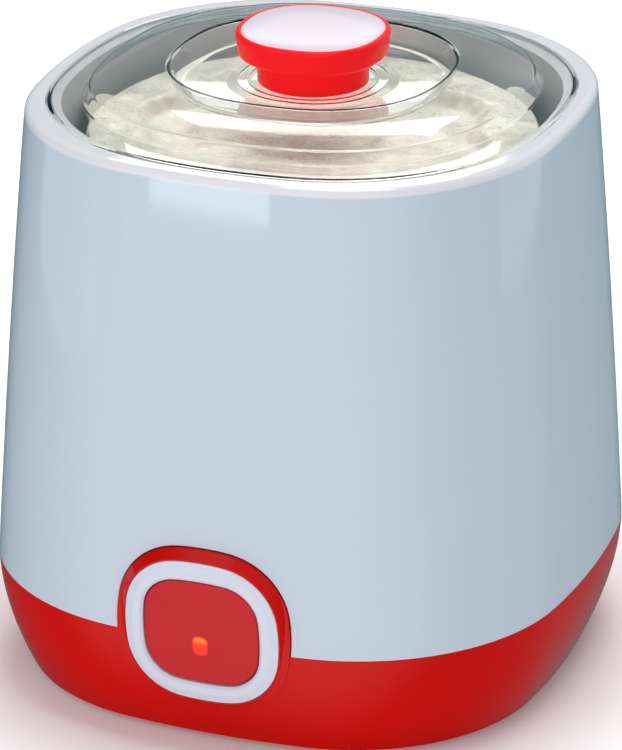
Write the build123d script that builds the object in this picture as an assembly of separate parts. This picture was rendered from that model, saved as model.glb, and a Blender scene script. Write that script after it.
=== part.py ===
from build123d import *
from math import cos, radians, sin, sqrt
import os

# Countertop yogurt maker for a one-litre container.
# Millimetres, +Z up, front face towards -Y. The origin is on the resting
# surface, under the middle of the body.

os.makedirs("parts", exist_ok=True)

# ---------------------------------------------------------------- body
FOOT_Z = 2.0            # the red base starts this high above the surface
SEAM_Z = 34.0           # red base below, white housing above
RIM_TOP_Z = 168.8       # rounded top edge of the white housing
RIM_ROUND = 2.2
BASE_HALF = 77.9        # half widths across the flats
SEAM_HALF = 86.0
RIM_HALF = 76.9
SIDE_BULGE = 0.5
WALL = 2.4

# ---------------------------------------------------------------- well
WELL_TOP_HALF = 68.8
WELL_FLOOR_HALF = 66.0
WELL_FLOOR_Z = 46.0
WELL_POWER = 2.3
LEDGE_Z = 167.0         # the well's flange, on which the clear lid rests
LEDGE_HALF = 72.5
LEDGE_POWER = 2.38
SHELF_Z = 165.2         # the housing's shelf under that flange
SHELF_THICK = 2.7

# ---------------------------------------------------------------- clear lid
GAP = 0.3               # between bodies that lift apart
LID_WALL = 1.8
LID_HALF = 72.1
LID_EDGE_Z = 169.0
CREASE_HALF = 62.3
CREASE_Z = 170.0
DOME_HALF = 60.0
DOME_Z = 173.0
CROWN_HALF = 50.0
CROWN_Z = 176.3
RECESS_HALF = 39.3
RECESS_RIM_Z = 177.4
RECESS_FLOOR_HALF = 37.3
RECESS_FLOOR_Z = 171.5

# ---------------------------------------------------------------- knob
NECK_RADIUS = 15.8
DISC_HALF = 21.6
DISC_POWER = 2.2
DISC_TAPER = 0.7         # the disc's side draws in downwards
DISC_LOW_Z = 179.5
DISC_TOP_Z = 186.8
DISC_BEVEL = 1.7
CAP_HALF = 19.75
CAP_POWER = 2.3
CAP_SEAT_Z = 185.2
CAP_TOP_Z = 187.1

# ---------------------------------------------------------------- container
JAR_BASE_Z = 46.8
JAR_TOP_Z = 155.2
JAR_BASE_RADIUS = 55.0
JAR_TOP_RADIUS = 59.0
JAR_WALL = 1.6
JAR_FLANGE_RADIUS = 61.7
JAR_LID_RADIUS = 64.0
JAR_LID_TOP_Z = 157.0
JAR_LID_PANEL_Z = 153.0
JAR_LID_PANEL_RADIUS = 52.0
JAR_LID_SKIRT_Z = 148.5
EAR_REACH = 67.6
EAR_ANGLES = (45, 183)

# ---------------------------------------------------------------- front panel
# Depths here run along the panel's outward normal, from the ring's outer edge.
PANEL_Z = 37.5
PANEL_Y = -86.0
PANEL_TILT = 4.0
COLLAR_HALVES = (25.9, 24.6)
COLLAR_POWER = 2.35
COLLAR_PROUD = 0.6
RING_HALVES = (22.9, 21.8)
RING_POWER = 2.45
RING_DEPTH = 4.0
RING_CROWN = 1.1
BUTTON_HALVES = (17.2, 15.9)
BUTTON_POWER = 2.9
BUTTON_FACE = 0.4
BUTTON_BACK = -8.4
BOARD_SIZE = (50.0, 20.0, 1.6)
BOARD_FRONT = -14.5
BOARD_SCREW_X = 22.0
LED_DROP = 4.2
SWITCH_RISE = 5.0
SWITCH_DEPTH = 4.5

# ---------------------------------------------------------------- heater
PLATE_RADIUS = 45.8
PLATE_TOP_Z = 46.4
PLATE_FLANGE_RADIUS = 50.0
FLANGE_Z = 41.3
SEAL_Z = 42.5
LINER_UNDER_Z = 43.5
CLAMP_TOP_Z = 40.3
CLAMP_THICK = 1.5
CLAMP_SCREW_RADIUS = 56.0
THERMOSTAT_RADIUS = 8.0

# ---------------------------------------------------------------- base
FLOOR = 2.4
BOSS_REACH = 54.5       # base screws stand at this X and Y
FOOT_REACH = 44.0
GLAND_Z = 16.0
GLAND_BORE = 3.3
GLAND_FACE_Y = 83.0     # flat seat of the gland's outer flange
GLAND_INNER_Y = 78.0


def squircle(half, power):
    """Face of eight tangent arcs, close to a superellipse of this power."""
    turn = radians(9.6 * (2.2 / power) ** 1.82)
    diagonal = half * 2 ** (0.5 - 1 / power)
    spread = cos(turn) - sin(turn)
    share = (1 - sqrt(2) * sin(turn)) / spread
    side_radius = (diagonal - half * share) / (1 - share)
    end_x = half - side_radius + side_radius * cos(turn)
    end_y = side_radius * sin(turn)
    tip = diagonal / sqrt(2)
    edges = []
    for quarter in range(4):
        spin = Rot(0, 0, 90 * quarter)
        edges.append(spin * ThreePointArc((end_x, -end_y), (half, 0), (end_x, end_y)))
        edges.append(spin * ThreePointArc((end_x, end_y), (tip, tip), (end_y, end_x)))
    return make_face(edges)


def stack(sections, ruled=True):
    """Solid through squircles given as (half width, height, power)."""
    faces = [Pos(0, 0, height) * squircle(half, power) for half, height, power in sections]
    return loft(faces, ruled=ruled)


def ring(outer_radius, inner_radius, low, high):
    """Flat round ring between two heights."""
    face = Circle(outer_radius) - Circle(inner_radius)
    return extrude(Pos(0, 0, low) * face, high - low)


def rod(radius, low, high, x=0.0, y=0.0):
    """Upright cylinder between two heights."""
    return extrude(Pos(x, y, low) * Circle(radius), high - low)


def slab(low, high):
    """Box between two corners."""
    size = [b - a for a, b in zip(low, high)]
    middle = [(a + b) / 2 for a, b in zip(low, high)]
    return Pos(*middle) * Box(*size)


def body_half(z):
    """Half width of the body at a height: curved base, nearly straight sides."""
    if z < SEAM_Z:
        depth = (SEAM_Z - z) / (SEAM_Z - FOOT_Z)
        return SEAM_HALF - (SEAM_HALF - BASE_HALF) * depth ** 1.8
    rise = (z - SEAM_Z) / (RIM_TOP_Z - SEAM_Z)
    return SEAM_HALF - (SEAM_HALF - RIM_HALF) * rise + 4 * SIDE_BULGE * rise * (1 - rise)


def body_power(z):
    """The section is squarest at the foot."""
    return 2.7 - 0.16 * (z - FOOT_Z) / (RIM_TOP_Z - FOOT_Z)


def body_form(low, high, offset=0.0, steps=6):
    """Solid of the body's outer form, or a form that far outside it."""
    heights = [low + (high - low) * step / steps for step in range(steps + 1)]
    sections = [(body_half(z) + offset, z, body_power(z)) for z in heights]
    return stack(sections, ruled=False)


def four_corners(reach):
    """The four places at plus and minus this X and Y."""
    return [(reach * x, reach * y) for x in (-1, 1) for y in (-1, 1)]


GLAND_AXIS = Pos(0, 0, GLAND_Z) * Rot(-90, 0, 0)

# ------------------------------------------------------------ panel helpers
PANEL = Plane(
    origin=(0, PANEL_Y, PANEL_Z),
    x_dir=(1, 0, 0),
    z_dir=(0, -cos(radians(PANEL_TILT)), -sin(radians(PANEL_TILT))),
)


def grown(halves, by):
    """Half sizes of an outline moved out by this much."""
    return (halves[0] + by, halves[1] + by)


def panel_outline(halves, power):
    """Squircle as high as the second half size, drawn out to the first."""
    stretch = halves[0] - halves[1]
    end = squircle(halves[1], power)
    return Pos(-stretch, 0) * end + Rectangle(2 * stretch, 2 * halves[1]) + Pos(stretch, 0) * end


def panel_face(halves, power, depth):
    return PANEL * Pos(0, 0, depth) * panel_outline(halves, power)


def panel_prism(halves, power, low, high):
    """Prism on the panel's plane, between two depths along its normal."""
    return PANEL * extrude(Pos(0, 0, low) * panel_outline(halves, power), high - low)


def panel_rod(radius, low, high, x=0.0, y=0.0):
    return PANEL * rod(radius, low, high, x, y)


# ------------------------------------------------------------ outer shells
def base_lip():
    """Locating lip inside the seam, and the step that carries it."""
    lip_z = (SEAM_Z - 3.0, SEAM_Z + 3.0)
    step_z = (SEAM_Z - 3.0, SEAM_Z - 0.2)
    lip = body_form(*lip_z, -WALL - 0.1, 2) - body_form(*lip_z, -WALL - 1.6, 2)
    step = body_form(*step_z, -WALL + 0.2, 2) - body_form(*step_z, -WALL - 1.6, 2)
    return lip + step


def panel_collar():
    """Collar that rises over the seam: it follows the body, bevelled to the ring."""
    skin = panel_prism(COLLAR_HALVES, COLLAR_POWER, -7.0, 12.0) & body_form(6.0, 70.0, COLLAR_PROUD)
    foot = panel_face(COLLAR_HALVES, COLLAR_POWER, -2.6)
    brow = panel_face(grown(RING_HALVES, 0.5), RING_POWER, 0.0)
    return skin + loft([foot, brow], ruled=True)


def make_base_shell():
    """Red base: curved skirt, floor, collar round the panel, screw bosses."""
    shell = body_form(FOOT_Z, SEAM_Z) - body_form(FOOT_Z + FLOOR, SEAM_Z, -WALL) + base_lip()
    shell -= panel_prism(grown(COLLAR_HALVES, -0.5), COLLAR_POWER, -20.0, 0.0)
    shell += panel_collar()
    shell -= panel_prism(grown(RING_HALVES, 0.15), RING_POWER, -RING_DEPTH, 14.0)
    shell -= panel_prism(grown(BUTTON_HALVES, 0.4), BUTTON_POWER, -20.0, 14.0)
    for side in (-1, 1):
        post = panel_rod(2.8, BOARD_FRONT, -6.9, BOARD_SCREW_X * side)
        shell += post - panel_rod(1.2, BOARD_FRONT, -8.0, BOARD_SCREW_X * side)
    for x, y in four_corners(BOSS_REACH):
        shell += rod(5.0, FOOT_Z + 0.5, SEAM_Z, x, y)
        shell -= rod(3.5, 0, 24.0, x, y)
        shell -= rod(1.7, 20.0, SEAM_Z + 1, x, y)
    for x, y in four_corners(FOOT_REACH):
        shell -= rod(2.9, 0, 8.0, x, y)
    for x in range(-24, 25, 8):
        shell -= slab((x - 1.5, -14, 0), (x + 1.5, 14, 8))
    shell += (GLAND_AXIS * rod(10.5, GLAND_INNER_Y, 90.0)) & body_form(FOOT_Z, SEAM_Z)
    shell -= GLAND_AXIS * rod(9.0, GLAND_FACE_Y, 90.0)
    return shell - GLAND_AXIS * rod(6.0, 70.0, 90.0)


def make_housing_shell():
    """White housing: tapered sides, rounded rim, inner shelf, corner bosses."""
    round_z = RIM_TOP_Z - RIM_ROUND
    rim = []
    for step in range(5):
        angle = radians(22.5 * step)
        half = body_half(round_z) - RIM_ROUND * (1 - cos(angle))
        rim.append((half, round_z + RIM_ROUND * sin(angle), body_power(round_z)))
    shell = body_form(SEAM_Z, round_z) + stack(rim)
    shell -= body_form(SEAM_Z, SHELF_Z - SHELF_THICK, -WALL)
    shell -= stack([(LEDGE_HALF, SHELF_Z, LEDGE_POWER), (LEDGE_HALF, RIM_TOP_Z + 1, LEDGE_POWER)])
    mouth = WELL_TOP_HALF + 2.3
    shell -= stack([(mouth, SHELF_Z - 5, WELL_POWER), (mouth, SHELF_Z + 1, WELL_POWER)])
    within = body_form(SEAM_Z, round_z, -WALL / 2)
    boss_radius = BOSS_REACH * sqrt(2)
    boss = rod(4.5, SEAM_Z, 58.0, boss_radius)
    boss += slab((boss_radius, -1, SEAM_Z + 4), (boss_radius + 18, 1, 58.0))
    bore = rod(1.4, SEAM_Z - 1, 50.0, boss_radius)
    for quarter in range(4):
        corner = Rot(0, 0, 45 + 90 * quarter)
        shell += (corner * boss) & within
        shell -= corner * bore
    return shell - panel_prism(grown(COLLAR_HALVES, 0.3), COLLAR_POWER, -30.0, 14.0)


def make_well_liner():
    """Heated well: flange under the lid, tapered wall, open floor, snap hooks."""
    flange = [(LEDGE_HALF - 0.2, SHELF_Z, LEDGE_POWER), (LEDGE_HALF - 0.2, LEDGE_Z, LEDGE_POWER)]
    outer = [
        (WELL_FLOOR_HALF + 2.0, LINER_UNDER_Z, WELL_POWER),
        (WELL_TOP_HALF + 2.0, SHELF_Z + 0.5, WELL_POWER),
    ]
    inner = [
        (WELL_FLOOR_HALF, WELL_FLOOR_Z, WELL_POWER),
        (WELL_TOP_HALF, LEDGE_Z + 0.1, WELL_POWER),
    ]
    liner = stack(flange) + stack(outer) - stack(inner)
    liner -= rod(PLATE_RADIUS + 0.2, LINER_UNDER_Z - 1, WELL_FLOOR_Z + 1)
    hook_top = SHELF_Z - SHELF_THICK - 0.2
    for quarter in range(4):
        spin = Rot(0, 0, 90 * quarter)
        liner += spin * slab((-5, 70.0, hook_top - 2.8), (5, 72.4, hook_top))
        liner += spin * rod(4.0, CLAMP_TOP_Z, LINER_UNDER_Z + 0.5, CLAMP_SCREW_RADIUS)
        liner -= spin * rod(1.4, CLAMP_TOP_Z - 1, LINER_UNDER_Z + 1.0, CLAMP_SCREW_RADIUS)
    return liner


# ------------------------------------------------------------ lid and knob
def make_outer_lid():
    """Clear lid: flat flange, low dome, dished middle, locating lip below."""
    flange_under = LEDGE_Z + GAP
    dome_power = 2.33
    top = [
        (LID_HALF, flange_under, LEDGE_POWER),
        (LID_HALF, LID_EDGE_Z, LEDGE_POWER),
        (CREASE_HALF, CREASE_Z, LEDGE_POWER),
        (DOME_HALF, DOME_Z, LEDGE_POWER),
        ((DOME_HALF + CROWN_HALF) / 2 + 0.6, (DOME_Z + CROWN_Z) / 2 + 0.35, dome_power),
        (CROWN_HALF, CROWN_Z, dome_power),
        (RECESS_HALF, RECESS_RIM_Z, WELL_POWER),
    ]
    under = [
        (CREASE_HALF - LID_WALL, flange_under - 1, LEDGE_POWER),
        (CREASE_HALF - LID_WALL, CREASE_Z - LID_WALL + 0.6, LEDGE_POWER),
        (DOME_HALF - LID_WALL, DOME_Z - LID_WALL + 0.4, LEDGE_POWER),
        (CROWN_HALF - 0.6, CROWN_Z - LID_WALL, dome_power),
        (RECESS_HALF, RECESS_RIM_Z - LID_WALL, WELL_POWER),
    ]
    cup = [
        (RECESS_FLOOR_HALF + LID_WALL, RECESS_FLOOR_Z - LID_WALL, WELL_POWER),
        (RECESS_HALF + LID_WALL, RECESS_RIM_Z - 0.5, WELL_POWER),
    ]
    recess = [
        (RECESS_FLOOR_HALF, RECESS_FLOOR_Z, WELL_POWER),
        (RECESS_HALF, RECESS_RIM_Z + 0.1, WELL_POWER),
    ]
    lip_outer = WELL_TOP_HALF - 0.6
    lip = extrude(Pos(0, 0, LEDGE_Z - 3.5) * squircle(lip_outer, WELL_POWER), 4.5)
    lip -= extrude(Pos(0, 0, LEDGE_Z - 4) * squircle(lip_outer - 1.5, WELL_POWER), 6)
    lid = stack(top) - stack(under) + stack(cup) - stack(recess) + lip
    return lid - rod(2.2, RECESS_FLOOR_Z - 4, RECESS_FLOOR_Z + 1)


def make_lid_knob():
    """Red knob: round neck, squarish disc, seat for the cap, blind screw bore."""
    disc = stack([
        (DISC_HALF - DISC_TAPER - 0.9, DISC_LOW_Z, DISC_POWER),
        (DISC_HALF - DISC_TAPER, DISC_LOW_Z + 0.9, DISC_POWER),
        (DISC_HALF, DISC_TOP_Z - DISC_BEVEL, DISC_POWER),
        (DISC_HALF - DISC_BEVEL / 3, DISC_TOP_Z - DISC_BEVEL / 3, DISC_POWER),
        (DISC_HALF - DISC_BEVEL, DISC_TOP_Z, DISC_POWER),
    ])
    knob = disc + rod(NECK_RADIUS, RECESS_FLOOR_Z, DISC_LOW_Z + 0.5)
    seat = extrude(Pos(0, 0, CAP_SEAT_Z) * squircle(CAP_HALF + 0.1, CAP_POWER), 5)
    knob -= seat
    return knob - rod(2.0, RECESS_FLOOR_Z - 1, RECESS_FLOOR_Z + 9)


def make_knob_cap():
    """White insert, slightly crowned."""
    edge_z = DISC_TOP_Z - 0.2
    return stack([
        (CAP_HALF, CAP_SEAT_Z, CAP_POWER),
        (CAP_HALF, edge_z, CAP_POWER),
        (CAP_HALF * 0.94, edge_z + 0.25, CAP_POWER),
        (CAP_HALF * 0.6, CAP_TOP_Z, CAP_POWER),
    ])


def make_knob_screw():
    head = rod(3.6, RECESS_FLOOR_Z - LID_WALL - 3.0, RECESS_FLOOR_Z - LID_WALL - 0.8)
    shank = rod(2.0, RECESS_FLOOR_Z - LID_WALL - 1.0, RECESS_FLOOR_Z + 8.5)
    slot = slab((-2.6, -0.4, 0), (2.6, 0.4, RECESS_FLOOR_Z - LID_WALL - 2.2))
    return head + shank - slot - Rot(0, 0, 90) * slot


def make_knob_washer():
    return ring(5.5, 2.1, RECESS_FLOOR_Z - LID_WALL - 0.8, RECESS_FLOOR_Z - LID_WALL)


# ------------------------------------------------------------ container
def make_container():
    """One-litre tub: tapered wall, rounded foot, flange at the mouth."""
    outline = Polyline(
        (0, JAR_BASE_Z), (JAR_BASE_RADIUS - 3, JAR_BASE_Z), (JAR_BASE_RADIUS, JAR_BASE_Z + 3),
        (JAR_TOP_RADIUS, JAR_TOP_Z - 2), (JAR_FLANGE_RADIUS, JAR_TOP_Z - 2),
        (JAR_FLANGE_RADIUS, JAR_TOP_Z), (JAR_TOP_RADIUS - JAR_WALL, JAR_TOP_Z),
        (JAR_BASE_RADIUS - JAR_WALL, JAR_BASE_Z + 3.6), (JAR_BASE_RADIUS - 4, JAR_BASE_Z + JAR_WALL),
        (0, JAR_BASE_Z + JAR_WALL), close=True,
    )
    return revolve(Plane.XZ * make_face(outline), Axis.Z)


def make_container_lid():
    """Snap-on lid: raised border, sunk middle, skirt, two lifting ears."""
    wall = 1.5
    panel = JAR_LID_PANEL_RADIUS
    outline = Polyline(
        (0, JAR_LID_PANEL_Z), (panel, JAR_LID_PANEL_Z), (panel + 0.6, JAR_LID_TOP_Z - 0.6),
        (panel + 1.2, JAR_LID_TOP_Z), (JAR_LID_RADIUS - 1, JAR_LID_TOP_Z),
        (JAR_LID_RADIUS, JAR_LID_TOP_Z - 1), (JAR_LID_RADIUS, JAR_LID_SKIRT_Z),
        (JAR_FLANGE_RADIUS + 0.4, JAR_LID_SKIRT_Z), (JAR_FLANGE_RADIUS + 0.4, JAR_LID_TOP_Z - wall),
        (panel + 2.4, JAR_LID_TOP_Z - wall), (panel + 1.4, JAR_LID_PANEL_Z - wall),
        (0, JAR_LID_PANEL_Z - wall), close=True,
    )
    lid = revolve(Plane.XZ * make_face(outline), Axis.Z)
    ear_low = JAR_LID_TOP_Z - 3.2
    for angle in EAR_ANGLES:
        ear = Pos(JAR_LID_RADIUS - 3.4, 0, ear_low) * extrude(Ellipse(EAR_REACH - JAR_LID_RADIUS + 3.4, 9.0), 1.6)
        lid += Rot(0, 0, angle) * (ear - rod(JAR_LID_RADIUS - 0.8, 100, 200))
    loop = Pos(JAR_LID_RADIUS - 0.4, 0, ear_low - 1) * extrude(Ellipse(2.4, 5.5), 4)
    loop -= rod(JAR_LID_RADIUS + 0.01, 100, 200)
    return lid - Rot(0, 0, EAR_ANGLES[1]) * loop


# ------------------------------------------------------------ panel pieces
def make_panel_ring():
    """White ring round the button, crowned towards its inner edge."""
    body = panel_prism(RING_HALVES, RING_POWER, -RING_DEPTH, 0.0)
    low = panel_face(RING_HALVES, RING_POWER, 0.0)
    high = panel_face(grown(RING_HALVES, -2.6), RING_POWER, RING_CROWN)
    body += loft([low, high], ruled=True)
    return body - panel_prism(grown(BUTTON_HALVES, 0.25), BUTTON_POWER, -9.0, 3.0)


def make_power_button():
    """Translucent button: thin face, skirt, retaining flange, stem."""
    button = panel_prism(BUTTON_HALVES, BUTTON_POWER, BUTTON_BACK, BUTTON_FACE)
    button += panel_prism(grown(BUTTON_HALVES, 1.1), BUTTON_POWER, BUTTON_BACK, BUTTON_BACK + 1.1)
    hollow = grown(BUTTON_HALVES, -1.6)
    button -= panel_prism(hollow, BUTTON_POWER, BUTTON_BACK - 1, BUTTON_FACE - 2.4)
    return button + panel_rod(2.2, -7.6, BUTTON_FACE - 2.0, 0, SWITCH_RISE)


def make_switch_plunger():
    return panel_rod(1.8, -11.5, -7.6, 0, SWITCH_RISE)


def make_power_switch():
    """Push-on push-off switch with its bore open to the front."""
    low = BOARD_FRONT
    body = PANEL * slab((-4.2, SWITCH_RISE - 4.2, low), (4.2, SWITCH_RISE + 4.2, low + SWITCH_DEPTH))
    return body - panel_rod(1.86, low + 0.8, low + 6, 0, SWITCH_RISE)


def make_indicator_led():
    """Amber diode with a domed tip."""
    tip = BOARD_FRONT + 8.2
    dome = Pos(0, -LED_DROP, tip - 2.5) * Sphere(2.5)
    base = rod(2.9, BOARD_FRONT, BOARD_FRONT + 1.0, 0, -LED_DROP)
    return PANEL * (rod(2.5, BOARD_FRONT, tip - 2.5, 0, -LED_DROP) + dome + base)


def make_led_resistor():
    """Dropper resistor lying on the board with its two legs."""
    low = BOARD_FRONT
    barrel = Pos(12, -3, low + 1.4) * Rot(90, 0, 0) * Cylinder(1.2, 6)
    legs = [rod(0.35, low - BOARD_SIZE[2], low + 1.4, 12, y) for y in (-7, 1)]
    bridge = Pos(12, -3, low + 1.4) * Rot(90, 0, 0) * Cylinder(0.35, 8.7)
    return PANEL * (barrel + legs[0] + legs[1] + bridge)


def make_indicator_board():
    width, height, thick = BOARD_SIZE
    low = BOARD_FRONT - thick
    board = slab((-width / 2, -height / 2, low), (width / 2, height / 2, BOARD_FRONT))
    for side in (-1, 1):
        board -= rod(1.4, low - 1, BOARD_FRONT + 1, BOARD_SCREW_X * side)
    for y in (-7, 1):
        board -= rod(0.35, low - 1, BOARD_FRONT + 1, 12, y)
    return PANEL * board


def make_board_screws():
    seat = BOARD_FRONT - BOARD_SIZE[2]
    screw = rod(2.4, seat - 1.6, seat) + rod(1.2, seat, -9.0)
    places = [Pos(BOARD_SCREW_X * side, 0) for side in (-1, 1)]
    return Compound(children=[PANEL * place * screw for place in places])


# ------------------------------------------------------------ heater
def make_heating_plate():
    """Aluminium plate that fills the liner's opening from below."""
    plate = rod(PLATE_RADIUS, FLANGE_Z, PLATE_TOP_Z)
    return plate + rod(PLATE_FLANGE_RADIUS, FLANGE_Z, SEAL_Z)


def make_plate_seal():
    return ring(PLATE_FLANGE_RADIUS, PLATE_RADIUS + 0.2, SEAL_Z, LINER_UNDER_Z)


def make_heater_element():
    """Flat heating mat with a hole for the thermostat and two tabs."""
    mat = ring(40.0, 9.5, CLAMP_TOP_Z, FLANGE_Z)
    return mat + slab((38.0, 8, CLAMP_TOP_Z), (43.0, 14, FLANGE_Z))


def make_heater_clamp():
    """Steel spider that presses the mat and the plate against the liner."""
    low = CLAMP_TOP_Z - CLAMP_THICK
    clamp = ring(42.0, 8.8, low, CLAMP_TOP_Z)
    for quarter in range(4):
        arm = slab((40, -6, low), (CLAMP_SCREW_RADIUS, 6, CLAMP_TOP_Z))
        arm += rod(6.0, low, CLAMP_TOP_Z, CLAMP_SCREW_RADIUS)
        arm -= rod(1.6, low - 1, CLAMP_TOP_Z + 1, CLAMP_SCREW_RADIUS)
        clamp += Rot(0, 0, 90 * quarter) * arm
    for x in (-11, 11):
        clamp -= rod(1.2, low - 1, CLAMP_TOP_Z + 1, x)
    return clamp


def make_clamp_screws():
    seat = CLAMP_TOP_Z - CLAMP_THICK
    screw = rod(2.8, seat - 1.8, seat, CLAMP_SCREW_RADIUS)
    screw += rod(1.4, seat, LINER_UNDER_Z + 1.0, CLAMP_SCREW_RADIUS)
    return Compound(children=[Rot(0, 0, 90 * quarter) * screw for quarter in range(4)])


def make_thermostat():
    """Bimetal thermostat: can against the plate, mounting ears, two blades."""
    seat = CLAMP_TOP_Z - CLAMP_THICK
    body = rod(THERMOSTAT_RADIUS, 32.0, FLANGE_Z)
    ears = slab((-14, -4, seat - 1.2), (14, 4, seat))
    for x in (-11, 11):
        ears -= rod(1.3, seat - 2, seat + 1, x)
    blades = [slab((x - 0.4, -3, 25.0), (x + 0.4, 3, 32.5)) for x in (-4, 4)]
    return body + ears + blades[0] + blades[1]


def make_thermostat_screws():
    seat = CLAMP_TOP_Z - CLAMP_THICK - 1.2
    screws = [rod(2.2, seat - 1.5, seat, x) + rod(1.2, seat, CLAMP_TOP_Z, x) for x in (-11, 11)]
    return Compound(children=screws)


def make_thermal_fuse():
    """One-shot thermal fuse lying under the clamp."""
    height = CLAMP_TOP_Z - CLAMP_THICK - 2.2
    return Pos(24, 0, height) * Rot(90, 0, 0) * Cylinder(2.2, 14)


# ------------------------------------------------------------ base pieces
def make_base_screws():
    screw = rod(3.1, 21.6, 24.0) + rod(1.4, 24.0, 48.0)
    slot = slab((-2.2, -0.4, 20), (2.2, 0.4, 22.6))
    screw = screw - slot - Rot(0, 0, 90) * slot
    return Compound(children=[Pos(x, y) * screw for x, y in four_corners(BOSS_REACH)])


def make_rubber_feet():
    """Push-in feet: pad, neck through the floor, retaining head."""
    inside = FOOT_Z + FLOOR
    foot = rod(7.0, 0, FOOT_Z) + rod(2.9, FOOT_Z, inside) + rod(3.8, inside, inside + 1.4)
    return Compound(children=[Pos(x, y) * foot for x, y in four_corners(FOOT_REACH)])


def make_cord_gland():
    """Bush in the back wall for the supply lead."""
    gland = rod(6.0, GLAND_INNER_Y - 0.5, GLAND_FACE_Y + 0.5)
    gland += rod(8.5, GLAND_FACE_Y, GLAND_FACE_Y + 2.2)
    gland += rod(8.0, GLAND_INNER_Y - 2.4, GLAND_INNER_Y)
    return GLAND_AXIS * (gland - rod(GLAND_BORE, 70, 90))


def make_terminal_block():
    """Two-way screw connector on the floor behind the heater."""
    low = FOOT_Z + FLOOR
    block = slab((-12, 44, low), (12, 58, low + 11))
    for x in (-6, 6):
        block -= rod(2.0, low + 5, low + 12, x, 51)
        block -= Pos(x, 51, low + 4) * Rot(90, 0, 0) * Cylinder(1.5, 20)
    return block


def make_lead(points, radius=0.9, bend=5.0):
    """Insulated wire along straight runs joined by arcs."""
    path = FilletPolyline(*points, radius=bend)
    return sweep(Plane(origin=path @ 0, z_dir=path % 0) * Circle(radius), path)


LEADS = {
    "lead_supply_thermostat": [(-6, 43.9, 8.4), (-6, 30, 8.4), (-6, 14, 22), (-5.4, 0, 28)],
    "lead_supply_heater": [
        (6, 43.9, 8.4), (6, 30, 8.4), (30, 18, 20), (44.5, 11, 30), (44.5, 11, 39.3),
    ],
    "lead_thermostat_fuse": [
        (5.4, 0, 28), (14, 0, 26), (24, -16, 30), (24, -10, 36.6), (24, -7.1, 36.6),
    ],
    "lead_supply_board": [
        (-10, 43.7, 8.4), (-12, 34, 8.4), (-30, 8, 9), (-26, -30, 10), (-14, -52, 16),
        (-10, -60, 31), (-10, -68.6, 32),
    ],
}

PARTS = {
    "base_shell": make_base_shell,
    "housing_shell": make_housing_shell,
    "well_liner": make_well_liner,
    "outer_lid": make_outer_lid,
    "lid_knob": make_lid_knob,
    "knob_cap": make_knob_cap,
    "knob_screw": make_knob_screw,
    "knob_washer": make_knob_washer,
    "container": make_container,
    "container_lid": make_container_lid,
    "panel_ring": make_panel_ring,
    "power_button": make_power_button,
    "switch_plunger": make_switch_plunger,
    "power_switch": make_power_switch,
    "indicator_led": make_indicator_led,
    "led_resistor": make_led_resistor,
    "indicator_board": make_indicator_board,
    "board_screws": make_board_screws,
    "heating_plate": make_heating_plate,
    "plate_seal": make_plate_seal,
    "heater_element": make_heater_element,
    "heater_clamp": make_heater_clamp,
    "clamp_screws": make_clamp_screws,
    "thermostat": make_thermostat,
    "thermostat_screws": make_thermostat_screws,
    "thermal_fuse": make_thermal_fuse,
    "base_screws": make_base_screws,
    "rubber_feet": make_rubber_feet,
    "cord_gland": make_cord_gland,
    "terminal_block": make_terminal_block,
}

for name, make in PARTS.items():
    export_step(make(), f"parts/{name}.step")
for name, points in LEADS.items():
    export_step(make_lead(points), f"parts/{name}.step")
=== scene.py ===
from math import cos, pi, radians, sin, sqrt, tan

import bmesh
import bpy
import numpy as np
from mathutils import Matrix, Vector


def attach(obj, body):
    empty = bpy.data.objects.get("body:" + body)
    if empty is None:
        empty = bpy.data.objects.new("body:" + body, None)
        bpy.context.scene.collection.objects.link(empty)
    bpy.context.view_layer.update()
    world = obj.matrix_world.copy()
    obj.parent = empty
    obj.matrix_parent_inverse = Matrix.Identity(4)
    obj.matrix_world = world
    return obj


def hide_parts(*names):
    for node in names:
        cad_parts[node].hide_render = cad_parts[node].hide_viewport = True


# Looks of the yogurt maker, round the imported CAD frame. Sizes are millimetres,
# as in the CAD part's source, and MM turns them into Blender's metres. The
# studio's places and sizes are metres.
MM = 0.001

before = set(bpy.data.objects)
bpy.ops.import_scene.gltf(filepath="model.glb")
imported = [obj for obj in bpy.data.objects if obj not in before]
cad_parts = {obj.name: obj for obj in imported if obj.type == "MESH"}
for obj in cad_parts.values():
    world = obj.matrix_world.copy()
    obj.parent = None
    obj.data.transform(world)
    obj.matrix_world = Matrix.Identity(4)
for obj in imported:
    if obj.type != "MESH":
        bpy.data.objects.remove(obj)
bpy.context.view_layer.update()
scene = bpy.context.scene
scene.view_settings.view_transform = "Standard"

# ------------------------------------------------------------------- camera
CAMERA_AZIMUTH = 21.1
CAMERA_ELEVATION = 23.05
CAMERA_DISTANCE = 1.3423
CAMERA_TARGET = Vector((0, 0, 0.08202))
CAMERA_LENS = 222.7
CAMERA_SHIFT = (-0.003, -0.0048)
SENSOR_WIDTH = 36
CLIP_END = 50


def turned(azimuth, elevation, distance, target):
    """Place at this distance from the target, and the turn that looks back at it."""
    out = Vector((
        sin(radians(azimuth)) * cos(radians(elevation)),
        -cos(radians(azimuth)) * cos(radians(elevation)),
        sin(radians(elevation)),
    ))
    return target + out * distance, out.to_track_quat("Z", "Y").to_euler()


def make_camera():
    data = bpy.data.cameras.new("camera")
    data.lens = CAMERA_LENS
    data.sensor_width = SENSOR_WIDTH
    data.shift_x, data.shift_y = CAMERA_SHIFT
    data.clip_end = CLIP_END
    camera = bpy.data.objects.new("camera", data)
    place, turn = turned(CAMERA_AZIMUTH, CAMERA_ELEVATION, CAMERA_DISTANCE, CAMERA_TARGET)
    camera.location = place
    camera.rotation_euler = turn
    scene.collection.objects.link(camera)
    scene.camera = camera


make_camera()

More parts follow.
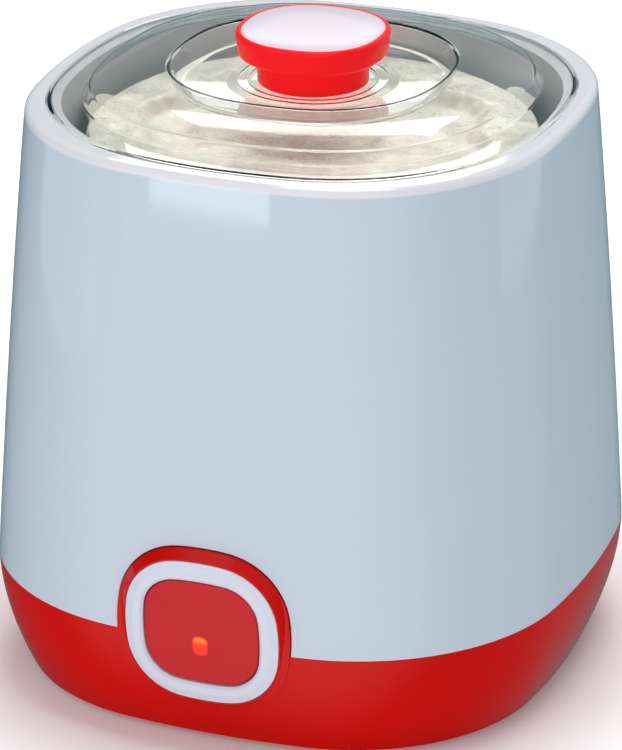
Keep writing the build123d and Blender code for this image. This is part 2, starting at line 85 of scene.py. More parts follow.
# ------------------------------------------------------------------ studio
LAMP_TARGET = Vector((0, 0, 0.09))


def make_light(name, azimuth, elevation, distance, size, power, colour=(1, 1, 1), kind="lamp"):
    """Soft rectangular lamp that faces the object. A card shows only in gloss, a fill never does."""
    data = bpy.data.lights.new(name, "AREA")
    data.shape = "RECTANGLE"
    data.size, data.size_y = size
    data.energy = power
    data.color = colour
    lamp = bpy.data.objects.new(name, data)
    lamp.location, lamp.rotation_euler = turned(azimuth, elevation, distance, LAMP_TARGET)
    lamp.visible_camera = False
    lamp.visible_diffuse = kind != "card"
    lamp.visible_glossy = kind != "fill"
    scene.collection.objects.link(lamp)


COOL, WARM, ROSE = (0.80, 0.93, 1.0), (1.0, 0.95, 0.92), (1.0, 0.93, 0.93)
PALE_WARM, PALE_BLUE = (1.0, 0.97, 0.94), (0.7, 0.9, 1.0)
make_light("softbox_front", -19, -4, 0.61, (0.235, 0.018), 0.055, COOL, "card")
make_light("card_left", -74, -8, 1.1, (0.95, 0.26), 0.50, PALE_BLUE, "card")
make_light("card_right", 125, -7.5, 1.1, (0.84, 0.21), 0.36, kind="card")
make_light("strip_front", -35, 55, 1.1, (0.8, 0.22), 0.35)
make_light("softbox_back", 198.3, 49, 1.1, (0.54, 0.25), 1.9, WARM)
make_light("window_back", 201.1, 26.5, 1.12, (0.20, 0.12), 0.17, PALE_WARM)
make_light("fill_back", 201, 8, 1.2, (1.2, 0.3), 0.14)
make_light("fill_high", 165, 62, 1.2, (0.8, 0.5), 2.3, kind="fill")
make_light("top", 80, 86, 1.2, (0.35, 0.7), 5.1, ROSE)

# Direction, the cosines where the glow starts and is full, and its colour.
WORLD_BASE = (0.02, 0.085, 0.095)
WORLD_GLOWS = [
    ("front", (-0.03, -1.0, 0.05), 0.25, 0.9, (1.10, 1.01, 1.02)),
    ("behind", (0.36, 0.93, 0.0), 0.2, 0.9, (0.10, 0.12, 0.12)),
    ("behind_high", (0.36, 0.93, 0.50), 0.80, 0.95, (0.40, 0.41, 0.43)),
]


def make_world():
    """Surroundings for ambient light and for gloss: a dim base and soft glows round it."""
    world = bpy.data.worlds.new("studio")
    world.use_nodes = True
    nodes = world.node_tree.nodes
    links = world.node_tree.links
    place = nodes.new("ShaderNodeTexCoord")
    base = nodes.new("ShaderNodeRGB")
    base.outputs["Color"].default_value = (*WORLD_BASE, 1)
    total = base.outputs["Color"]
    for name, direction, start, full, colour in WORLD_GLOWS:
        aim = nodes.new("ShaderNodeVectorMath")
        aim.operation = "DOT_PRODUCT"
        aim.inputs[1].default_value = Vector(direction).normalized()
        reach = nodes.new("ShaderNodeMapRange")
        reach.interpolation_type = "SMOOTHSTEP"
        reach.inputs["From Min"].default_value = start
        reach.inputs["From Max"].default_value = full
        add = nodes.new("ShaderNodeMix")
        add.name = name
        add.data_type = "RGBA"
        add.blend_type = "ADD"
        links.new(total, add.inputs["A"])
        add.inputs["B"].default_value = (*colour, 1)
        links.new(place.outputs["Generated"], aim.inputs[0])
        links.new(aim.outputs["Value"], reach.inputs["Value"])
        links.new(reach.outputs["Result"], add.inputs["Factor"])
        total = add.outputs["Result"]
    links.new(total, nodes["Background"].inputs["Color"])
    scene.world = world


make_world()


def grid_noise(material, scale, detail=3.0, roughness=0.5):
    """Noise in the piece's own coordinates."""
    nodes = material.node_tree.nodes
    links = material.node_tree.links
    place = nodes.get("Texture Coordinate") or nodes.new("ShaderNodeTexCoord")
    noise = nodes.new("ShaderNodeTexNoise")
    noise.inputs["Scale"].default_value = scale
    noise.inputs["Detail"].default_value = detail
    noise.inputs["Roughness"].default_value = roughness
    links.new(place.outputs["Object"], noise.inputs["Vector"])
    return noise.outputs["Fac"]


NOISE_LOW, NOISE_HIGH = 0.3, 0.7


def spread(material, value, low, high):
    """Noise brought to a range."""
    node = material.node_tree.nodes.new("ShaderNodeMapRange")
    node.inputs["From Min"].default_value = NOISE_LOW
    node.inputs["From Max"].default_value = NOISE_HIGH
    node.inputs["To Min"].default_value = low
    node.inputs["To Max"].default_value = high
    material.node_tree.links.new(value, node.inputs["Value"])
    return node.outputs["Result"]


def blend(material, factor, first, second):
    """Mix of two colours, each a tuple or a socket."""
    node = material.node_tree.nodes.new("ShaderNodeMix")
    node.data_type = "RGBA"
    links = material.node_tree.links
    links.new(factor, node.inputs["Factor"])
    for colour, socket in ((first, node.inputs["A"]), (second, node.inputs["B"])):
        if isinstance(colour, tuple):
            socket.default_value = (*colour, 1)
        else:
            links.new(colour, socket)
    return node.outputs["Result"]


def bump(material, value, strength, distance):
    """Normal from a height. The distance is in millimetres."""
    node = material.node_tree.nodes.new("ShaderNodeBump")
    node.inputs["Strength"].default_value = strength
    node.inputs["Distance"].default_value = distance * MM
    material.node_tree.links.new(value, node.inputs["Height"])
    return node.outputs["Normal"]


def tinted(colour, by):
    return tuple(min(1.0, max(0.0, part * by)) for part in colour)


def make_surface(
    name, colour, rough=(0.2, 0.3), drift=0.06, drift_scale=25, grain_scale=1800,
    grain=0.08, grain_depth=0.02, second=None, **inputs,
):
    """Moulded or worked surface: slow colour drift, uneven gloss and a fine grain."""
    material = bpy.data.materials.new(name)
    material.use_nodes = True
    shader = material.node_tree.nodes["Principled BSDF"]
    links = material.node_tree.links
    slow = grid_noise(material, drift_scale)
    fine = grid_noise(material, grain_scale, 2.0)
    other = second or tinted(colour, 1 - drift)
    links.new(blend(material, spread(material, slow, 0, 1), colour, other), shader.inputs["Base Color"])
    links.new(spread(material, fine, *rough), shader.inputs["Roughness"])
    links.new(bump(material, fine, grain, grain_depth), shader.inputs["Normal"])
    for socket, value in inputs.items():
        shader.inputs[socket.replace("_", " ")].default_value = value
    return material


FLOOR_HALF = 4.0
GLOW_RADII = (0.07, 0.14)
GLOW_STRENGTHS = (0.10, 0.42)


def make_floor():
    """Plain pale floor, wide enough for every view. It glows more away from the object."""
    half = FLOOR_HALF
    mesh = bpy.data.meshes.new("floor")
    corners = [(-half, -half, 0), (half, -half, 0), (half, half, 0), (-half, half, 0)]
    mesh.from_pydata(corners, [], [(0, 1, 2, 3)])
    floor = bpy.data.objects.new("floor", mesh)
    scene.collection.objects.link(floor)
    material = make_surface(
        "floor_paper", (0.88, 0.88, 0.88), (0.85, 0.95), 0.01, 3,
        Specular_IOR_Level=0.1, Emission_Color=(1, 1, 1, 1),
    )
    nodes = material.node_tree.nodes
    links = material.node_tree.links
    far = nodes.new("ShaderNodeVectorMath")
    far.operation = "LENGTH"
    links.new(nodes["Texture Coordinate"].outputs["Object"], far.inputs[0])
    lit = nodes.new("ShaderNodeMapRange")
    lit.interpolation_type = "SMOOTHSTEP"
    lit.inputs["From Min"].default_value, lit.inputs["From Max"].default_value = GLOW_RADII
    lit.inputs["To Min"].default_value, lit.inputs["To Max"].default_value = GLOW_STRENGTHS
    links.new(far.outputs["Value"], lit.inputs["Value"])
    links.new(lit.outputs["Result"], nodes["Principled BSDF"].inputs["Emission Strength"])
    mesh.materials.append(material)
    floor.visible_glossy = False


make_floor()


# --------------------------------------------------------------- materials
def make_clear(name, colour, shade):
    """Clear moulded plastic that lets the lamps' light through to what it covers."""
    material = make_surface(
        name, colour, (0.0, 0.03), 0.03, 18, 160, 0.05, 0.02,
        Transmission_Weight=1.0, IOR=1.42,
    )
    nodes = material.node_tree.nodes
    links = material.node_tree.links
    through = nodes.new("ShaderNodeBsdfTransparent")
    through.inputs["Color"].default_value = (*shade, 1)
    path = nodes.new("ShaderNodeLightPath")
    mix = nodes.new("ShaderNodeMixShader")
    links.new(path.outputs["Is Shadow Ray"], mix.inputs["Fac"])
    links.new(nodes["Principled BSDF"].outputs["BSDF"], mix.inputs[1])
    links.new(through.outputs["BSDF"], mix.inputs[2])
    links.new(mix.outputs["Shader"], nodes["Material Output"].inputs["Surface"])
    return material


RIM_BAND = (0.1660, 0.1667)
# The rim's warmer white is partly a second tone and partly painted light, because the top edge faces up
# to the top lamp.
BODY_WHITE, RIM_WHITE_AND_TOP_LIGHT = (0.63, 0.72, 0.81), (0.88, 0.87, 0.91)


def make_housing_material():
    """Glossy pale housing whose rounded top edge is a warmer white: partly its own tone, partly painted
    light from the lamp above.
    """
    material = make_surface("housing_white", BODY_WHITE, (0.05, 0.08), 0.02, 12, 2400, 0.02, 0.01)
    nodes = material.node_tree.nodes
    links = material.node_tree.links
    shader = nodes["Principled BSDF"]
    painted = shader.inputs["Base Color"].links[0].from_socket
    split = nodes.new("ShaderNodeSeparateXYZ")
    links.new(nodes["Texture Coordinate"].outputs["Object"], split.inputs["Vector"])
    band = nodes.new("ShaderNodeMapRange")
    band.inputs["From Min"].default_value, band.inputs["From Max"].default_value = RIM_BAND
    links.new(split.outputs["Z"], band.inputs["Value"])
    colour = blend(material, band.outputs["Result"], painted, RIM_WHITE_AND_TOP_LIGHT)
    links.new(colour, shader.inputs["Base Color"])
    return material


MILKY = (0.84, 0.80, 0.70)
WAVE_SCALE = 110


def make_milky_material(name, streak, wave):
    """Milky thin plastic: streaks of a second colour, and waves this many millimetres deep."""
    material = make_surface(
        name, MILKY, (0.24, 0.36), 0.08, 80, 900, 0.06, 0.02,
        second=streak, Subsurface_Weight=0.25, Subsurface_Scale=0.004,
    )
    nodes = material.node_tree.nodes
    links = material.node_tree.links
    streaks = next(node for node in nodes if node.type == "TEX_NOISE")
    streaks.inputs["Distortion"].default_value = 1.4
    waves = nodes.new("ShaderNodeBump")
    waves.inputs["Strength"].default_value = 1.0
    waves.inputs["Distance"].default_value = wave * MM
    links.new(grid_noise(material, WAVE_SCALE, 2.0, 0.45), waves.inputs["Height"])
    grain = next(node for node in nodes if node.type == "BUMP" and node != waves)
    links.new(waves.outputs["Normal"], grain.inputs["Normal"])
    return material


def make_metal(name, colour, rough):
    return make_surface(name, colour, rough, 0.12, 60, 900, 0.15, 0.02, Metallic=1.0)


GLOW_CENTRE = (-0.0004, 0.0333)
GLOW_HALVES = (0.0021, 0.0026)
GLOW_POWER = 3.0
GLOW_EDGES = (1.9, 0.3)
GLOW_RISE = (0.0002, 0.0020)
GLOW_LOW, GLOW_HIGH = (0.62, 0.035, 0.008), (0.80, 0.24, 0.015)


def measured(material, operation, *values):
    """Maths node on sockets and numbers."""
    node = material.node_tree.nodes.new("ShaderNodeMath")
    node.operation = operation
    for socket, value in zip(node.inputs, values):
        if isinstance(value, (int, float)):
            socket.default_value = value
        else:
            material.node_tree.links.new(value, socket)
    return node.outputs["Value"]


def make_button_material():
    """Translucent red with the diode's glow showing through it."""
    material = make_surface(
        "button_red", (0.63, 0.014, 0.020), (0.12, 0.18), 0.06, 70, 1500, 0.02, 0.01,
        Specular_IOR_Level=0.25,
    )
    nodes = material.node_tree.nodes
    links = material.node_tree.links
    shader = nodes["Principled BSDF"]
    split = nodes.new("ShaderNodeSeparateXYZ")
    links.new(nodes["Texture Coordinate"].outputs["Object"], split.inputs["Vector"])
    across = measured(material, "SUBTRACT", split.outputs["X"], GLOW_CENTRE[0])
    up = measured(material, "SUBTRACT", split.outputs["Z"], GLOW_CENTRE[1])
    shares = []
    for away, half in zip((across, up), GLOW_HALVES):
        share = measured(material, "ABSOLUTE", measured(material, "DIVIDE", away, half))
        shares.append(measured(material, "POWER", share, GLOW_POWER))
    inside = nodes.new("ShaderNodeMapRange")
    inside.interpolation_type = "SMOOTHSTEP"
    inside.inputs["From Min"].default_value, inside.inputs["From Max"].default_value = GLOW_EDGES
    links.new(measured(material, "ADD", *shares), inside.inputs["Value"])
    rise = nodes.new("ShaderNodeMapRange")
    rise.interpolation_type = "SMOOTHSTEP"
    rise.inputs["From Min"].default_value, rise.inputs["From Max"].default_value = GLOW_RISE
    links.new(up, rise.inputs["Value"])
    glow = blend(material, rise.outputs["Result"], GLOW_LOW, GLOW_HIGH)
    links.new(glow, shader.inputs["Emission Color"])
    links.new(inside.outputs["Result"], shader.inputs["Emission Strength"])
    return material


MATERIALS = {
    "housing_white": make_housing_material(),
    "base_red": make_surface(
        "base_red", (0.68, 0.004, 0.0015), (0.10, 0.14), 0.05, 20, 1500, 0.02, 0.01,
        Specular_IOR_Level=0.22,
    ),
    "liner_grey": make_surface(
        "liner_grey", (0.57, 0.58, 0.60), (0.4, 0.5), 0.08, 20, 1400, 0.12, 0.03,
    ),
    "lid_clear": make_clear("lid_clear", (0.955, 0.965, 0.955), (0.93, 0.94, 0.93)),
    # The knob's red emission is a painted glow. The plastic gives no light; the emission only makes its
    # red brighter than the lamps do.
    "knob_red": make_surface(
        "knob_red", (1.0, 0.010, 0.014), (0.22, 0.28), 0.03, 30, 1600, 0.02, 0.01,
        Specular_IOR_Level=0.14, Emission_Color=(1.0, 0.008, 0.014, 1), Emission_Strength=0.26,
    ),
    "cap_white": make_surface(
        "cap_white", (0.895, 0.79, 0.875), (0.14, 0.2), 0.02, 30, 1600, 0.05, 0.01,
    ),
    "container_milky": make_milky_material("container_milky", (0.76, 0.73, 0.64), 0.5),
    "ring_white": make_surface(
        "ring_white", (0.74, 0.77, 0.88), (0.2, 0.26), 0.02, 60, 1500, 0.05, 0.01,
    ),
    "button_red": make_button_material(),
    "led_amber": make_surface(
        "led_amber", (1.0, 0.30, 0.02), (0.1, 0.2), 0.3, 500, 1500, 0.05, 0.01,
        Emission_Color=(1.0, 0.25, 0.01, 1), Emission_Strength=3.0,
    ),
    "resistor_tan": make_surface("resistor_tan", (0.62, 0.42, 0.22), (0.4, 0.5), 0.2, 700),
    "board_green": make_surface("board_green", (0.03, 0.20, 0.07), (0.3, 0.45), 0.3, 300),
    "steel": make_metal("steel", (0.62, 0.62, 0.64), (0.25, 0.4)),
    "aluminium": make_metal("aluminium", (0.80, 0.80, 0.82), (0.3, 0.45)),
    "silicone": make_surface("silicone", (0.65, 0.63, 0.60), (0.5, 0.65), 0.1, 120),
    "heater_mat": make_surface("heater_mat", (0.55, 0.20, 0.05), (0.35, 0.5), 0.3, 160),
    "black_plastic": make_surface("black_plastic", (0.025, 0.025, 0.028), (0.35, 0.5), 0.3, 90),
    "rubber_black": make_surface(
        "rubber_black", (0.02, 0.02, 0.02), (0.7, 0.85), 0.3, 200, 1200, 0.3, 0.05,
    ),
    "nylon_white": make_surface("nylon_white", (0.72, 0.71, 0.66), (0.4, 0.5), 0.08, 150),
    "wire_sleeve": make_surface("wire_sleeve", (0.70, 0.69, 0.66), (0.45, 0.6), 0.12, 400),
}
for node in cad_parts.values():
    for slot in node.material_slots:
        slot.material = MATERIALS[slot.material.name]


# ------------------------------------------------------------- mesh helpers
SIDE_STEPS = 14
CORNER_STEPS = 26


def squircle(half, power):
    """Points once round a section of eight tangent arcs. A higher power is squarer."""
    turn = radians(9.6 * (2.2 / power) ** 1.82)
    diagonal = half * 2 ** (0.5 - 1 / power)
    lean = cos(turn) - sin(turn)
    share = (1 - sqrt(2) * sin(turn)) / lean
    side_radius = (diagonal - half * share) / (1 - share)
    corner_radius = side_radius - (side_radius - half) / lean
    corner = (side_radius - corner_radius) * sin(turn)
    side = np.linspace(-turn, turn, SIDE_STEPS, endpoint=False)
    bend = np.linspace(turn, pi / 2 - turn, CORNER_STEPS, endpoint=False)
    side_x = half - side_radius + side_radius * np.cos(side)
    side_y = side_radius * np.sin(side)
    x = np.concatenate([side_x, corner + corner_radius * np.cos(bend)])
    y = np.concatenate([side_y, corner + corner_radius * np.sin(bend)])
    quarters = []
    for quarter in range(4):
        c, s = round(cos(quarter * pi / 2)), round(sin(quarter * pi / 2))
        quarters.append(np.stack([c * x - s * y, s * x + c * y], axis=1))
    return np.concatenate(quarters)


def level(outline, z):
    """Row of 3-D points: a plane outline at a height."""
    return np.column_stack([outline, np.full(len(outline), z)])


ARC_STEPS = 6
ARC_HOLD = 0.12


def rounded(corners, closed=False):
    """Profile through (half, z, power, radius) corners, with a true arc at each radius.

    A row just before and after each arc keeps the shading of the flats clean.
    """
    count = len(corners)
    rows = []
    for index, corner in enumerate(corners):
        half, z, power, radius = corner
        inner = closed or 0 < index < count - 1
        if not radius or not inner:
            rows.append((half, z, power))
            continue
        here = np.array([half, z])
        before = np.array(corners[index - 1][:2]) - here
        after = np.array(corners[(index + 1) % count][:2]) - here
        before /= np.linalg.norm(before)
        after /= np.linalg.norm(after)
        opening = np.arccos(np.clip(before @ after, -1, 1))
        reach = radius / tan(opening / 2)
        middle = here + (before + after) / np.linalg.norm(before + after) * radius / sin(opening / 2)
        start = here + before * reach - middle
        sweep = pi - opening
        end = here + after * reach - middle
        side = np.sign(start[0] * end[1] - start[1] * end[0])
        hold = ARC_HOLD * radius
        rows.append((*(here + before * (reach + hold)), power))
        for step in range(ARC_STEPS + 1):
            turn = side * sweep * step / ARC_STEPS
            x = start[0] * cos(turn) - start[1] * sin(turn)
            y = start[0] * sin(turn) + start[1] * cos(turn)
            rows.append((middle[0] + x, middle[1] + y, power))
        rows.append((*(here + after * (reach + hold)), power))
    return rows


def squircle_rows(profile):
    return [level(squircle(half, power), z) for half, z, power in profile]


def make_piece(name, rows, material, body, *nodes, closed=False, poles=()):
    """Smooth mesh through rows of points. It rides on a body and replaces CAD nodes."""
    count = len(rows[0])
    points = np.concatenate(rows)
    faces = []
    for row in range(len(rows) if closed else len(rows) - 1):
        low = row * count
        high = (row + 1) % len(rows) * count
        for i in range(count):
            j = (i + 1) % count
            faces.append((low + i, low + j, high + j, high + i))
    for pole in poles:
        first = 0 if pole == "start" else (len(rows) - 1) * count
        centre = len(points)
        points = np.vstack([points, points[first:first + count].mean(axis=0)])
        faces += [(first + i, first + (i + 1) % count, centre) for i in range(count)]
    mesh = bpy.data.meshes.new(name)
    mesh.from_pydata([tuple(point) for point in points * MM], [], faces)
    return add_piece(name, mesh, material, body, *nodes)


SHARP_ANGLE = radians(32)


def add_piece(name, mesh, material, body, *nodes):
    """Object for a mesh, shaded smooth except at sharp edges."""
    work = bmesh.new()
    work.from_mesh(mesh)
    bmesh.ops.recalc_face_normals(work, faces=work.faces)
    work.to_mesh(mesh)
    work.free()
    mesh.shade_smooth()
    mesh.set_sharp_from_angle(angle=SHARP_ANGLE)
    piece = bpy.data.objects.new(name, mesh)
    scene.collection.objects.link(piece)
    mesh.materials.append(MATERIALS[material])
    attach(piece, body)
    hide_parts(*nodes)
    return piece


# --------------------------------------------------------------- clear lid
LEDGE_POWER, WELL_POWER, DOME_POWER = 2.38, 2.3, 2.33
LID_WALL, LID_HOLE_HALF = 1.0, 2.3
WELL_Z, BEAD_Z, CREST_Z = 171.5, 171.95, 177.3
FLANGE_Z, FLANGE_UNDER_Z, LID_LOW_Z = 169.45, 168.45, 167.3
EDGE_HALF, EDGE_INSIDE_HALF = 72.1, 71.0


def offset_profile(profile, by):
    """The same line moved to its right by a wall's thickness, from its end to its start."""
    line = np.array([corner[:2] for corner in profile])
    run = np.diff(line, axis=0)
    run /= np.linalg.norm(run, axis=1)[:, None]
    way = np.vstack([run[:1], run[:-1] + run[1:], run[-1:]])
    way /= np.linalg.norm(way, axis=1)[:, None]
    moved = line + by * np.column_stack([way[:, 1], -way[:, 0]])
    return [(*place, corner[2]) for place, corner in zip(moved, profile)][::-1]


def make_lid():
    """Clear lid: sunk middle, domed crown, flat flange with a turned-down edge."""
    skin = rounded([
        (LID_HOLE_HALF, WELL_Z, 2.2, 0), (8, WELL_Z, 2.2, 0), (16.5, WELL_Z, 2.1, 0),
        (18.2, BEAD_Z, 2.1, 0.8), (21.0, BEAD_Z, 2.15, 1.2), (24.0, WELL_Z, 2.2, 1.2),
        (30, WELL_Z, 2.25, 0), (37.4, WELL_Z, WELL_POWER, 2.6), (39.3, CREST_Z, WELL_POWER, 1.15),
        (45.0, 177.0, WELL_POWER, 0), (47.5, 176.7, WELL_POWER, 0), (50, 176.3, DOME_POWER, 0),
        (52.2, 175.85, DOME_POWER, 0), (54.4, 175.3, DOME_POWER, 0), (56.6, 174.6, DOME_POWER, 0),
        (60.4, 173.0, LEDGE_POWER, 2.0), (62.4, 169.5, LEDGE_POWER, 1.0),
        (65.5, FLANGE_Z, LEDGE_POWER, 0),
    ])
    edge = rounded([
        (66.0, FLANGE_Z, LEDGE_POWER, 0), (EDGE_HALF, 169.4, LEDGE_POWER, 0.9),
        (EDGE_HALF, LID_LOW_Z, LEDGE_POWER, 0.4), (EDGE_INSIDE_HALF, LID_LOW_Z, LEDGE_POWER, 0.4),
        (EDGE_INSIDE_HALF, 168.4, LEDGE_POWER, 0.5), (66.0, FLANGE_UNDER_Z, LEDGE_POWER, 0),
    ])
    profile = skin + edge + offset_profile(skin, LID_WALL)
    make_piece("clear_lid", squircle_rows(profile), "lid_clear", "lid", "outer_lid", closed=True)


make_lid()

# -------------------------------------------------------------------- knob
DISC_HALF, DISC_POWER = 21.6, 2.2
CAP_HALF, CAP_POWER, CAP_GAP = 19.75, 2.3, 0.1
NECK_RADIUS, NECK_POWER, KNOB_HOLE_HALF = 15.8, 2.0, 2.1
DISC_LOW_Z, DISC_TOP_Z, CAP_LOW_Z = 179.5, 186.8, 185.2


def make_knob():
    """Round neck under a rounded-square disc with a shallow seat for the cap."""
    profile = rounded([
        (KNOB_HOLE_HALF, WELL_Z, NECK_POWER, 0), (NECK_RADIUS, WELL_Z, NECK_POWER, 0.5),
        (NECK_RADIUS, DISC_LOW_Z, NECK_POWER, 0.9), (DISC_HALF - 0.9, DISC_LOW_Z, DISC_POWER, 1.2),
        (DISC_HALF, DISC_TOP_Z, DISC_POWER, 1.1), (CAP_HALF + CAP_GAP, DISC_TOP_Z, CAP_POWER, 0.1),
        (CAP_HALF + CAP_GAP, CAP_LOW_Z, CAP_POWER, 0), (KNOB_HOLE_HALF, CAP_LOW_Z, CAP_POWER, 0),
    ])
    rows = squircle_rows(profile)
    make_piece("knob_body", rows, "knob_red", "lid", "lid_knob", poles=("start", "end"))


def make_cap():
    """Insert with a rounded edge and a slightly crowned top."""
    profile = rounded([
        (1.0, CAP_LOW_Z, CAP_POWER, 0), (CAP_HALF, CAP_LOW_Z, CAP_POWER, 0),
        (CAP_HALF, 186.75, CAP_POWER, 0.3), (17.5, 187.0, CAP_POWER, 0),
        (11, 187.08, CAP_POWER, 0), (1.0, 187.1, CAP_POWER, 0),
    ])
    rows = squircle_rows(profile)
    make_piece("knob_insert", rows, "cap_white", "lid", "knob_cap", poles=("start", "end"))


make_knob()
make_cap()


# ------------------------------------------------------------ container lid
COVER_STEPS, LOBES = 216, 8
COVER_RADIUS, COVER_INSIDE_RADIUS, COVER_TOP_RADIUS, COVER_ROUND = 64.0, 62.1, 62.8, 1.2
PANEL_Z, BORDER_Z, PANEL_UNDER_Z, BORDER_UNDER_Z, SKIRT_LOW_Z = 153.0, 157.0, 151.5, 155.4, 148.5
BORDER_RADIUS, LOBE_DEPTH, BORDER_SLOPE = 45.6, 6.0, (-2.4, 2.6)
LIP, EAR_REACH = 0.3, 3.3
# Direction of each ear in degrees, and half its width.
EARS = ((45, 9), (183, 10))
# The cover's streak colour is darker than the container's. It is the plastic's swirl, plus painted
# shade for the light that the lid and rim keep off it.
COVER_STREAK_AND_SHADE, COVER_WAVE = (0.57, 0.57, 0.50), 2.2
# Share of the ear's reach, height without an ear, and how far the ear lifts it.
EAR_PROFILE = (
    (0, 155.7, 0), (0.3, 155.3, 0.4), (0.6, 155.4, 1.9), (0.85, 155.3, 2.9), (1, 155.0, 2.7),
    (1, 154.2, 2.3), (0.8, 154.0, 1.9), (0.5, 153.8, 0.6), (0, 153.7, 0),
)


def smooth(value):
    """Ease from 0 to 1."""
    value = np.clip(value, 0, 1)
    return value * value * (3 - 2 * value)


def make_container_lid():
    """Milky lid: bordered panel with a ring of lobes, skirt and two lifting ears."""
    angle = np.linspace(0, 2 * pi, COVER_STEPS, endpoint=False)
    scallop = 0.5 + 0.5 * np.cos(LOBES * angle)
    inner = BORDER_RADIUS + LOBE_DEPTH * scallop
    border_start, border_end = inner + BORDER_SLOPE[0], inner + BORDER_SLOPE[1]

    def ear(at, wide):
        """1 in the middle of an ear, 0 away from it."""
        gap = np.angle(np.exp(1j * (angle - radians(at))))
        return np.clip(1 - (gap * COVER_RADIUS / wide) ** 2, 0, None) ** 0.5

    ears = np.maximum(*(ear(at, wide) for at, wide in EARS))
    reach = LIP + EAR_REACH * ears

    def row(radius, z):
        radius = np.broadcast_to(radius, COVER_STEPS)
        z = np.broadcast_to(z, COVER_STEPS)
        return np.column_stack([radius * np.cos(angle), radius * np.sin(angle), z])

    def panel_z(radius):
        """Sunk panel with raised petals and a low boss in the middle."""
        petal = smooth((radius - 14) / 7) * smooth((32 + 8 * scallop - radius) / 7)
        boss = smooth((11 - radius) / 3)
        return PANEL_Z + 1.3 * petal + 1.0 * boss

    rows = [row(radius, panel_z(radius)) for radius in np.linspace(1.5, 44, 30)]
    for share in np.linspace(0, 1, 9):
        radius = border_start + (border_end - border_start) * share
        rows.append(row(radius, PANEL_Z + (BORDER_Z - PANEL_Z) * smooth(share)))
    for share in (0.15, 0.4, 0.7, 0.9):
        rows.append(row(border_end + (COVER_TOP_RADIUS - 0.2 - border_end) * share, BORDER_Z))
    for turn in (30, 60, 90):
        across, up = COVER_ROUND * sin(radians(turn)), COVER_ROUND * cos(radians(turn))
        rows.append(row(COVER_TOP_RADIUS + across, BORDER_Z - COVER_ROUND + up))
    for share, z, lift in EAR_PROFILE:
        rows.append(row(COVER_RADIUS + reach * share, z + lift * ears))
    for z in (152.0, 149.4, SKIRT_LOW_Z + 0.2):
        rows.append(row(COVER_RADIUS, z))
    for radius in (COVER_RADIUS - 0.3, COVER_INSIDE_RADIUS + 0.3):
        rows.append(row(radius, SKIRT_LOW_Z))
    for z in (SKIRT_LOW_Z + 0.3, BORDER_UNDER_Z):
        rows.append(row(COVER_INSIDE_RADIUS, z))
    for share in (0.0, 0.5, 1.0):
        z = BORDER_UNDER_Z - (BORDER_UNDER_Z - PANEL_UNDER_Z) * share
        rows.append(row(inner + 3.0 - 4.4 * share, z))
    for radius in np.linspace(42, 1.5, 8):
        rows.append(row(radius, PANEL_UNDER_Z))
    cover = make_piece(
        "container_cover", rows, "container_milky", "container_lid", "container_lid",
        poles=("start", "end"),
    )
    # The cover gets its own copy of the milky plastic with darker streaks, partly painted shade.
    cover.data.materials[0] = make_milky_material("cover_milky_shaded", COVER_STREAK_AND_SHADE, COVER_WAVE)


make_container_lid()

# ------------------------------------------------------------ panel pieces
PANEL_TILT = radians(4)
PANEL_ORIGIN = np.array([0.0, -86.0, 37.5])
PANEL_UP = np.array([0.0, -sin(PANEL_TILT), cos(PANEL_TILT)])
PANEL_OUT = np.array([0.0, -cos(PANEL_TILT), -sin(PANEL_TILT)])
RING_HALVES, RING_POWER, RING_BACK, RING_CROWN = (22.9, 21.8), 2.45, -4.0, 1.1
BUTTON_HALVES, BUTTON_POWER, BUTTON_BACK, BUTTON_FACE = (17.2, 15.9), 2.9, -8.4, 0.4
BUTTON_GAP, BUTTON_DOME, BUTTON_FLANGE, BUTTON_WALL = 0.25, 0.22, 1.1, 1.6
# How far inside the button's outline each row of its face is. The first is nearly its middle.
FACE_ROWS = (15.4, 12, 8, 5, 3, 1.8)
DOME_REACH = 15.5


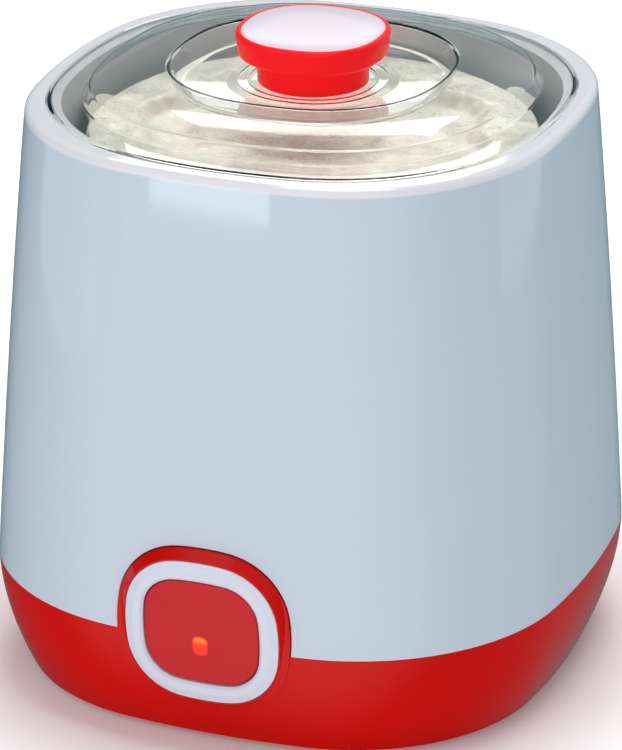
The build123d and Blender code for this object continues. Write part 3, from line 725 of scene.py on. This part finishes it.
def panel_outline(halves, power, by=0.0):
    """Squircle as high as the second half size, drawn out to the first, moved out by this much."""
    stretch = halves[0] - halves[1]
    outline = squircle(halves[1] + by, power)
    outline[:, 0] += np.clip(outline[:, 0] * 2, -1, 1) * stretch
    return outline


def panel_row(outline, depth):
    """Outline set on the panel's plane, at a depth along its normal."""
    return PANEL_ORIGIN + outline[:, :1] * [1, 0, 0] + outline[:, 1:] * PANEL_UP + depth * PANEL_OUT


def make_ring():
    """Crowned ring between the collar and the button."""
    outer = panel_outline(RING_HALVES, RING_POWER)
    inner = panel_outline(BUTTON_HALVES, BUTTON_POWER, BUTTON_GAP)
    width = RING_HALVES[1] - BUTTON_HALVES[1] - BUTTON_GAP
    profile = rounded([
        (0, RING_BACK, 1, 0), (0, 0.1, 1, 0.3), (2.6, RING_CROWN - 0.1, 1, 3.5),
        (width - 0.9, RING_CROWN, 1, 0.5), (width, RING_CROWN - 0.6, 1, 0.3), (width, RING_BACK, 1, 0),
    ], closed=True)
    rows = []
    for across, depth, _ in profile:
        rows.append(panel_row(outer + (inner - outer) * (across / width), depth))
    make_piece("panel_trim", rows, "ring_white", "housing", "panel_ring", closed=True)


def make_button():
    """Low-domed cap with a rounded edge, and a flange behind the ring that holds it in."""
    face = []
    for inside in FACE_ROWS:
        fall = ((DOME_REACH - inside) / DOME_REACH) ** 2
        face.append((-inside, BUTTON_FACE + BUTTON_DOME * (1 - fall), 1, 0))
    flange_z, under_z = BUTTON_BACK + BUTTON_FLANGE, BUTTON_FACE - 2.4
    profile = rounded([
        *face, (0, BUTTON_FACE - 0.02, 1, 0.7), (0, flange_z, 1, 0),
        (BUTTON_FLANGE, flange_z, 1, 0.3), (BUTTON_FLANGE, BUTTON_BACK, 1, 0.3),
        (-BUTTON_WALL, BUTTON_BACK, 1, 0.3), (-BUTTON_WALL, under_z, 1, 0.3),
        (-FACE_ROWS[0], under_z, 1, 0),
    ])
    rows = []
    for by, depth, _ in profile:
        rows.append(panel_row(panel_outline(BUTTON_HALVES, BUTTON_POWER, by), depth))
    make_piece("button_face", rows, "button_red", "button", "power_button", poles=("start", "end"))


make_ring()
make_button()
